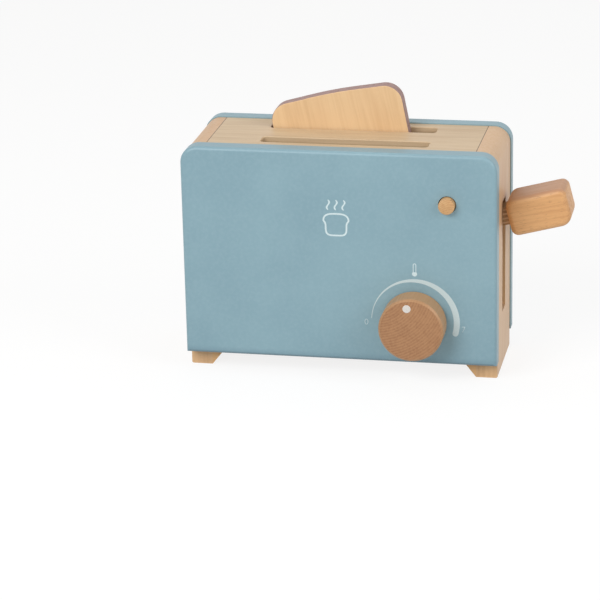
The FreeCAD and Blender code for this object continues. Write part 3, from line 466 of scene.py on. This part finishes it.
print_ink = ink("print_ink", tint(208, 224, 226))
arc_ink = ink("arc_ink", tint(196, 211, 213))
dot_ink = ink("dot_ink", tint(222, 213, 204))
slice_wood = toast_finish("slice_wood")
zinc = metal("zinc_steel", tint(196, 197, 198), 0.34)
spring_steel = metal("spring_steel", tint(176, 177, 180), 0.24)
nickel = metal("magnet_nickel", tint(204, 202, 198), 0.20)
white_nylon = nylon("washer_nylon")

FINISHES = {
    "front_panel": blue_paint,
    "rear_panel": blue_paint,
    "left_upright": left_wood,
    "right_upright": right_wood,
    "left_foot_block": foot_wood,
    "right_foot_block": foot_wood,
    "top_board": top_wood,
    "slot_divider": divider_wood,
    "floor_board": floor_ply,
    "front_dowels": dowel_wood,
    "rear_dowels": dowel_wood,
    "top_dowels": dowel_wood,
    "pivot_bracket": zinc,
    "pivot_bracket_screws": zinc,
    "pivot_pin": zinc,
    "pivot_washers": white_nylon,
    "top_screw_eye": zinc,
    "return_spring": spring_steel,
    "lever_board": lever_ply,
    "lever_hanger": hanger_wood,
    "toast_tray": tray_ply,
    "lever_screws": zinc,
    "lever_screw_eye": zinc,
    "lever_handle": handle_wood,
    "strike_plate": zinc,
    "latch_bracket": zinc,
    "latch_bracket_screws": zinc,
    "latch_pin": zinc,
    "latch_screw_eye": zinc,
    "latch_spring": spring_steel,
    "latch_spring_peg": zinc,
    "latch_bar": latch_ply,
    "catch_magnet": nickel,
    "release_button": button_wood,
    "toasting_knob": knob_wood,
    "knob_axle": dowel_wood,
    "knob_washer": zinc,
    "knob_screw": zinc,
    "toast_slice": slice_wood,
}

for node_name, finish_material in FINISHES.items():
    for material_slot in nodes_of_cad[node_name].material_slots:
        material_slot.material = finish_material


# Modelling helpers
def dress(piece, material):
    piece.data.materials.clear()
    piece.data.materials.append(material)


def start_clean():
    """Leaves edit mode and deselects everything."""
    if bpy.context.object and bpy.context.object.mode != "OBJECT":
        bpy.ops.object.mode_set(mode="OBJECT")
    bpy.ops.object.select_all(action="DESELECT")


def make_active(piece):
    start_clean()
    piece.select_set(True)
    bpy.context.view_layer.objects.active = piece


def edit_all():
    """Enters edit mode with everything selected."""
    bpy.ops.object.mode_set(mode="EDIT")
    bpy.ops.mesh.select_all(action="SELECT")


def disc(radius, vertices):
    """A flat disc about the origin, facing up."""
    start_clean()
    bpy.ops.mesh.primitive_circle_add(vertices=vertices, radius=radius * MM, fill_type="NGON",
                                      location=(0, 0, 0))
    return bpy.context.object


def named(name):
    """Gives the active object its name."""
    piece = bpy.context.object
    piece.name = name
    piece.data.name = name
    return piece


def choose(piece, wanted, kind="verts"):
    """In edit mode, selects the piece's vertices, edges or faces that are wanted."""
    bpy.ops.mesh.select_mode(type={"verts": "VERT", "edges": "EDGE", "faces": "FACE"}[kind])
    bpy.ops.mesh.select_all(action="DESELECT")
    mesh = bmesh.from_edit_mesh(piece.data)
    for item in getattr(mesh, kind):
        if wanted(item):
            item.select_set(True)
    bmesh.update_edit_mesh(piece.data)


def middle_of(edge):
    return (edge.verts[0].co + edge.verts[1].co) / 2


def raise_ink(piece):
    """Gives a flat print its thickness."""
    make_active(piece)
    edit_all()
    bpy.ops.mesh.remove_doubles(threshold=0.0001 * MM)
    bpy.ops.mesh.normals_make_consistent(inside=False)
    bpy.ops.object.mode_set(mode="OBJECT")
    layer = piece.modifiers.new("thickness", "SOLIDIFY")
    layer.thickness = INK_THICK * MM
    layer.offset = 0.0
    bpy.ops.object.modifier_apply(modifier=layer.name)


def lay_on_panel(piece, place, face_y=FACE_Y):
    """Stands a flat print up against a face, at x from the body's middle and z from the floor."""
    make_active(piece)
    piece.rotation_euler = (QUARTER, 0, 0)
    piece.location = (BODY_X + place[0] * MM, face_y - INK_STAND_OFF * MM, place[1] * MM)
    bpy.ops.object.transform_apply(location=True, rotation=True, scale=True)


def joined(first, second, name):
    make_active(first)
    second.select_set(True)
    bpy.ops.object.join()
    return named(name)


def finish_print(piece, material, body="body"):
    dress(piece, material)
    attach(piece, body)


def reach_of_circle(shift, radius, angle):
    """How far a circle with its centre shifted along X lies from the origin, at an angle."""
    return shift * math.cos(angle) + math.sqrt(radius ** 2 - (shift * math.sin(angle)) ** 2)


def dial_arc():
    """Crescent scale round the knob, thin at 0 and wide at 7, with a round wide end."""
    start_clean()
    bpy.ops.mesh.primitive_circle_add(vertices=180, radius=ARC_OUTER_RADIUS * MM,
                                      location=(0, 0, 0))
    arc = named("dial_arc")
    edit_all()
    bpy.ops.transform.translate(value=(ARC_OUTER_SHIFT * MM, 0, 0))
    bpy.ops.mesh.extrude_edges_move()
    bpy.ops.transform.translate(value=(-ARC_OUTER_SHIFT * MM, 0, 0))
    ratio = ARC_INNER_RADIUS / ARC_OUTER_RADIUS
    bpy.ops.transform.resize(value=(ratio, ratio, 1), center_override=(0, 0, 0))
    bpy.ops.transform.translate(value=(ARC_INNER_SHIFT * MM, 0, 0))
    below_end = (math.sin(ARC_END), -math.cos(ARC_END), 0)

    def turn_of(face):
        middle = face.calc_center_median()
        return math.atan2(middle.y, middle.x)

    choose(arc, lambda face: turn_of(face) > ARC_START or turn_of(face) < -QUARTER, "faces")
    bpy.ops.mesh.delete(type="FACE")
    bpy.ops.mesh.select_all(action="SELECT")
    bpy.ops.mesh.bisect(plane_co=(0, 0, 0), plane_no=below_end)
    choose(arc, lambda face: turn_of(face) < ARC_END, "faces")
    bpy.ops.mesh.delete(type="FACE")
    outer = reach_of_circle(ARC_OUTER_SHIFT, ARC_OUTER_RADIUS, ARC_END)
    inner = reach_of_circle(ARC_INNER_SHIFT, ARC_INNER_RADIUS, ARC_END)
    cap_radius = (outer - inner) / 2 * MM
    centre = Vector((math.cos(ARC_END), math.sin(ARC_END), 0)) * (outer + inner) / 2 * MM
    start_clean()
    bpy.ops.mesh.primitive_circle_add(vertices=32, radius=cap_radius, fill_type="NGON",
                                      location=centre)
    cap = bpy.context.object
    bpy.ops.object.transform_apply(location=True, rotation=True, scale=True)
    edit_all()
    bpy.ops.mesh.bisect(plane_co=centre, plane_no=below_end, clear_inner=True, use_fill=False)
    arc = joined(arc, cap, "dial_arc")
    raise_ink(arc)
    lay_on_panel(arc, ((KNOB_X - BODY_X) / MM, KNOB_Z / MM + ARC_RISE))
    finish_print(arc, arc_ink)


def dial_number(text, name, place):
    """One of the two numbers at the ends of the dial's scale."""
    start_clean()
    bpy.ops.object.text_add(location=(0, 0, 0))
    number = bpy.context.object
    number.data.body = text
    number.data.size = DIGIT_SIZE * MM
    number.data.offset = -DIGIT_THINNER * MM
    number.data.align_x = "CENTER"
    number.data.align_y = "CENTER"
    number.data.resolution_u = 6
    bpy.ops.object.convert(target="MESH")
    number = named(name)
    raise_ink(number)
    lay_on_panel(number, place)
    finish_print(number, print_ink)


def keep_outline(line):
    """In edit mode, leaves only a line of the given width along a flat face's outline."""
    bpy.ops.mesh.select_all(action="SELECT")
    bpy.ops.mesh.inset(thickness=line * MM, use_even_offset=True)
    bpy.ops.mesh.delete(type="FACE")


def heat_gauge():
    """Thermometer sign: an open tube over a filled bulb."""
    tube = disc(GAUGE_TUBE, 40)
    bpy.ops.object.mode_set(mode="EDIT")
    choose(tube, lambda vert: vert.co.y > NEAR)
    bpy.ops.transform.translate(value=(0, (GAUGE_HEIGHT - GAUGE_TUBE) * MM, 0))
    keep_outline(GAUGE_LINE)
    bpy.ops.mesh.select_all(action="SELECT")
    neck = math.sqrt(GAUGE_BULB ** 2 - GAUGE_TUBE ** 2) * MM
    bpy.ops.mesh.bisect(plane_co=(0, neck, 0), plane_no=(0, 1, 0), clear_inner=True)
    bulb = disc(GAUGE_BULB, 40)
    edit_all()
    bpy.ops.mesh.bisect(plane_co=(0, neck, 0), plane_no=(0, 1, 0), clear_outer=True)
    gauge = joined(tube, bulb, "heat_gauge")
    raise_ink(gauge)
    lay_on_panel(gauge, GAUGE_PLACE)
    finish_print(gauge, print_ink)


def drawn_in_rows(name, rows):
    """A flat shape, extruded upwards from row to row, that closes to a point at both ends.

    A row is its middle, height and width in millimetres.
    """
    start_clean()
    bpy.ops.mesh.primitive_plane_add(size=ROW_POINT * MM, location=(0, 0, 0))
    shape = named(name)
    bpy.ops.object.mode_set(mode="EDIT")
    choose(shape, lambda vert: vert.co.y > 0)
    bpy.ops.mesh.delete(type="VERT")
    bpy.ops.mesh.select_all(action="SELECT")
    middle, height, width = 0.0, -ROW_POINT / 2, ROW_POINT
    for number, (new_middle, new_height, new_width) in enumerate(rows):
        if number > 0:
            bpy.ops.mesh.extrude_edges_move()
        new_width = max(new_width, ROW_POINT)
        bpy.ops.transform.resize(value=(new_width / width, 1, 1),
                                 center_override=(middle * MM, height * MM, 0))
        bpy.ops.transform.translate(value=((new_middle - middle) * MM, (new_height - height) * MM, 0))
        middle, height, width = new_middle, new_height, new_width
    bpy.ops.mesh.select_all(action="SELECT")
    bpy.ops.mesh.remove_doubles(threshold=0.001 * MM)
    return shape


def bread_row(turn):
    """A row of the bread, at a turn of a quarter below to a quarter above its middle."""
    side = math.cos(turn) ** BREAD_SQUARENESS
    up = math.copysign(abs(math.sin(turn)) ** BREAD_SQUARENESS, turn)
    below_head = max(0.0, min(1.0, (BREAD_HEAD_FROM - up) / BREAD_HEAD_BLEND))
    waist = 1.0 - BREAD_WAIST * below_head ** 2 * (3 - 2 * below_head)
    dome = 1.0 + BREAD_DOME * max(0.0, up) * (1 - side ** 2)
    return (0.0, up * dome * BREAD_HEIGHT / 2, side * waist * BREAD_WIDTH)


def bread_sign():
    """Plain slice-of-bread outline: a straight-sided body under a wider, domed head."""
    rows = [bread_row(step / BREAD_ROWS * math.pi - QUARTER) for step in range(BREAD_ROWS + 1)]
    bread = drawn_in_rows("bread_sign", rows)
    keep_outline(BREAD_LINE)
    raise_ink(bread)
    lay_on_panel(bread, BREAD_PLACE)
    finish_print(bread, print_ink)


def heat_row(share):
    """A row of a heat wave, at a share of its height from its middle."""
    sway = HEAT_SWAY * math.sin(2 * math.pi * share)
    taper = math.sqrt(1 - abs(2 * share) ** HEAT_END_POWER)
    return (sway, share * HEAT_HEIGHT, taper * HEAT_LINE)


def heat_waves():
    """Three wavy lines of warmth over the bread, drawn once and copied."""
    rows = [heat_row(step / HEAT_ROWS - 0.5) for step in range(HEAT_ROWS + 1)]
    wave = drawn_in_rows("heat_wave_0", rows)
    raise_ink(wave)
    lay_on_panel(wave, (HEAT_PLACE[0] - HEAT_SPACING, HEAT_PLACE[1]))
    waves = [wave]
    for index in (1, 2):
        bpy.ops.object.duplicate()
        bpy.ops.transform.translate(value=(HEAT_SPACING * MM, 0, 0))
        bpy.ops.object.transform_apply(location=True, rotation=True, scale=True)
        waves.append(named("heat_wave_%d" % index))
    for wave in waves:
        finish_print(wave, print_ink)


def knob_dot():
    """Painted mark near the knob's rim that turns with it."""
    disc(DOT_RADIUS, 48)
    dot = named("knob_dot")
    edit_all()
    for width, rise in DOT_STEPS:
        bpy.ops.mesh.inset(thickness=width * MM)
        bpy.ops.transform.translate(value=(0, 0, rise * MM))
    raise_ink(dot)
    x = (KNOB_X - BODY_X) / MM - DOT_REACH * math.sin(DOT_TURN)
    z = KNOB_Z / MM + DOT_REACH * math.cos(DOT_TURN)
    lay_on_panel(dot, (x, z), KNOB_FACE_Y)
    finish_print(dot, dot_ink, "knob")


def beech_grip():
    """The lever's grip: a block with its corners bandsawn round and its faces softened."""
    start_clean()
    bpy.ops.mesh.primitive_cube_add(size=1.0, location=(0, 0, 0),
                                    scale=(GRIP_LENGTH * MM, GRIP_WIDTH * MM, GRIP_HEIGHT * MM))
    grip = named("beech_grip")
    bpy.ops.object.transform_apply(location=True, rotation=True, scale=True)
    bpy.ops.object.mode_set(mode="EDIT")
    sides = ((-1, -1), (1, -1), (1, 1), (-1, 1))
    for (side_x, side_z), radius in zip(sides, GRIP_CORNERS):
        corner = Vector((side_x * GRIP_LENGTH / 2, 0, side_z * GRIP_HEIGHT / 2)) * MM
        choose(grip, lambda edge: (middle_of(edge) - corner).length < NEAR, "edges")
        bpy.ops.mesh.bevel(offset=radius * MM, offset_type="OFFSET", segments=14, profile=0.5,
                           affect="EDGES")
    half_width = GRIP_WIDTH / 2 * MM
    choose(grip, lambda edge: abs(middle_of(edge).y) > half_width - NEAR, "edges")
    bpy.ops.mesh.bevel(offset=GRIP_FRONT_ROUND * MM, offset_type="OFFSET", segments=10, profile=0.5,
                       affect="EDGES")
    bpy.ops.object.mode_set(mode="OBJECT")
    bpy.ops.object.shade_smooth_by_angle(angle=math.radians(30))
    grip.rotation_euler = (0, -LEVER_TILT - GRIP_EXTRA_TILT, 0)
    grip.location = ((grip_low[0] + grip_high[0]) / 2 + GRIP_SHIFT[0] * MM, BODY_Y,
                     (grip_low[2] + grip_high[2]) / 2 + GRIP_SHIFT[1] * MM)
    bpy.ops.object.transform_apply(location=True, rotation=True, scale=True)
    dress(grip, handle_wood)
    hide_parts("lever_handle")
    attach(grip, "lever")


def beech_button():
    """The release button, turned in one piece: cap, collar behind the panel and stem."""
    middle_x = (button_low[0] + button_high[0]) / 2
    middle_z = (button_low[2] + button_high[2]) / 2
    front = button_low[1]
    cap_length = panel_high[1] + BUTTON_PLAY * MM - front
    collar_length = BUTTON_COLLAR_THICK * MM
    tip_length = BUTTON_TIP * MM
    stem_length = button_high[1] - front - cap_length - collar_length - tip_length
    start_clean()
    bpy.ops.mesh.primitive_circle_add(vertices=64, radius=BUTTON_RADIUS * MM, fill_type="NGON",
                                      location=(middle_x, front, middle_z), rotation=(QUARTER, 0, 0))
    button = named("beech_button")
    bpy.ops.object.transform_apply(location=True, rotation=True, scale=True)
    edit_all()
    steps = ((cap_length, BUTTON_RADIUS), (0, BUTTON_COLLAR), (collar_length, BUTTON_COLLAR),
             (0, BUTTON_STEM), (stem_length, BUTTON_STEM), (tip_length, BUTTON_TIP_RADIUS))
    width = BUTTON_RADIUS
    for length, radius in steps:
        bpy.ops.mesh.extrude_region_move()
        bpy.ops.transform.translate(value=(0, length, 0))
        bpy.ops.transform.resize(value=(radius / width, 1, radius / width),
                                 center_override=(middle_x, front, middle_z))
        width = radius
    choose(button, lambda edge: middle_of(edge).y < front + NEAR, "edges")
    bpy.ops.mesh.bevel(offset=BUTTON_BEVEL * MM, offset_type="OFFSET", segments=2, profile=0.5,
                       affect="EDGES")
    bpy.ops.mesh.select_all(action="SELECT")
    bpy.ops.mesh.normals_make_consistent(inside=False)
    bpy.ops.object.mode_set(mode="OBJECT")
    bpy.ops.object.shade_smooth_by_angle(angle=math.radians(35))
    dress(button, button_wood)
    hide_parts("release_button")
    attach(button, "button")


def leaning_spring():
    """A copy of the latch's spring with its doubled vertices merged, shown in place of the latch
    spring part.
    """
    spring = bpy.data.objects.new("leaning_spring", nodes_of_cad["latch_spring"].data.copy())
    spring.data.name = "leaning_spring"
    bpy.context.collection.objects.link(spring)
    make_active(spring)
    edit_all()
    bpy.ops.mesh.remove_doubles(threshold=0.002 * MM)
    bpy.ops.mesh.normals_make_consistent(inside=False)
    bpy.ops.object.mode_set(mode="OBJECT")
    bpy.ops.object.shade_smooth_by_angle(angle=math.radians(35))
    dress(spring, spring_steel)
    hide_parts("latch_spring")
    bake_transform(spring)


# The pieces of the scene
leaning_spring()
beech_grip()
beech_button()
dial_arc()
dial_number("0", "dial_zero", ZERO_PLACE)
dial_number("7", "dial_seven", SEVEN_PLACE)
heat_gauge()
bread_sign()
heat_waves()
knob_dot()


# Floor, light and camera
def seen_share(nodes, links):
    """1 where the floor or the room is seen or mirrored, and 0 where it only lights things."""
    path = nodes.new("ShaderNodeLightPath")
    seen = nodes.new("ShaderNodeMath")
    seen.operation = "MAXIMUM"
    links.new(path.outputs["Is Camera Ray"], seen.inputs[0])
    links.new(path.outputs["Is Glossy Ray"], seen.inputs[1])
    return seen.outputs["Value"]


def pale_floor():
    """A wide matt floor that looks almost white."""
    start_clean()
    bpy.ops.mesh.primitive_plane_add(size=FLOOR_SIZE, location=(BODY_X, BODY_Y, 0))
    floor = named("floor")
    material = bpy.data.materials.new("floor_white")
    material.use_nodes = True
    nodes = material.node_tree.nodes
    links = material.node_tree.links
    nodes.clear()
    out = nodes.new("ShaderNodeOutputMaterial")
    soft = nodes.new("ShaderNodeBsdfDiffuse")
    soft.inputs["Color"].default_value = FLOOR_GREY
    glow = nodes.new("ShaderNodeEmission")
    glow.inputs["Color"].default_value = WHITE
    glow.inputs["Strength"].default_value = FLOOR_GLOW
    seen = seen_share(nodes, links)
    share = nodes.new("ShaderNodeMath")
    share.operation = "MULTIPLY"
    share.inputs[1].default_value = FLOOR_GLOW_SHARE
    links.new(seen, share.inputs[0])
    mixed = nodes.new("ShaderNodeMixShader")
    links.new(share.outputs["Value"], mixed.inputs["Fac"])
    links.new(soft.outputs["BSDF"], mixed.inputs[1])
    links.new(glow.outputs["Emission"], mixed.inputs[2])
    links.new(mixed.outputs["Shader"], out.inputs["Surface"])
    dress(floor, material)


def pale_world():
    """A white room that lights the toy softly."""
    world = bpy.data.worlds.new("pale_room")
    bpy.context.scene.world = world
    world.use_nodes = True
    nodes = world.node_tree.nodes
    links = world.node_tree.links
    room = nodes["Background"]
    room.inputs["Color"].default_value = ROOM_TINT
    room.inputs["Strength"].default_value = ROOM_POWER
    white = nodes.new("ShaderNodeBackground")
    white.inputs["Color"].default_value = WHITE
    white.inputs["Strength"].default_value = 1.0
    seen = seen_share(nodes, links)
    mixed = nodes.new("ShaderNodeMixShader")
    links.new(seen, mixed.inputs["Fac"])
    links.new(room.outputs["Background"], mixed.inputs[1])
    links.new(white.outputs["Background"], mixed.inputs[2])
    links.new(mixed.outputs["Shader"], nodes["World Output"].inputs["Surface"])


def soft_light(name, place, aim, size, power):
    """A rectangular lamp, placed and aimed in metres from the body's middle on the floor."""
    start_clean()
    start = Vector((BODY_X + place[0], BODY_Y + place[1], place[2]))
    end = Vector((BODY_X + aim[0], BODY_Y + aim[1], aim[2]))
    bpy.ops.object.light_add(type="AREA", location=start)
    lamp = named(name)
    lamp.data.shape = "RECTANGLE"
    lamp.data.size = size[0]
    lamp.data.size_y = size[1]
    lamp.data.energy = power
    lamp.rotation_euler = (end - start).to_track_quat("-Z", "Y").to_euler()


def photo_camera():
    """The camera that sees the toy as the photograph does."""
    start_clean()
    bpy.ops.object.camera_add(location=(0, 0, 0))
    camera = named("photo_camera")
    camera.data.lens = LENS
    camera.data.sensor_width = SENSOR
    camera.data.sensor_fit = "HORIZONTAL"
    camera.data.clip_end = 50.0
    place = Vector((BODY_X, BODY_Y, 0)) + Vector(CAMERA_FROM_BODY)
    camera.matrix_world = (Matrix.Translation(place) @ Matrix.Rotation(CAMERA_HEADING, 4, "Z")
                           @ Matrix.Rotation(QUARTER - CAMERA_DIP, 4, "X")
                           @ Matrix.Rotation(CAMERA_ROLL, 4, "Z"))
    bpy.context.scene.camera = camera


pale_floor()
pale_world()
soft_light("key_light", (-0.8, -1.5, 1.2), (0, 0, 0.08), (1.2, 1.0), 25.0)
soft_light("side_light", (1.5, -0.7, 0.9), (0, 0, 0.08), (1.0, 1.0), 11.0)
soft_light("top_light", (0.1, 0.5, 1.7), (0, 0, 0.1), (1.3, 1.0), 4.0)
photo_camera()
bpy.context.scene.view_settings.view_transform = "Standard"

start_clean()
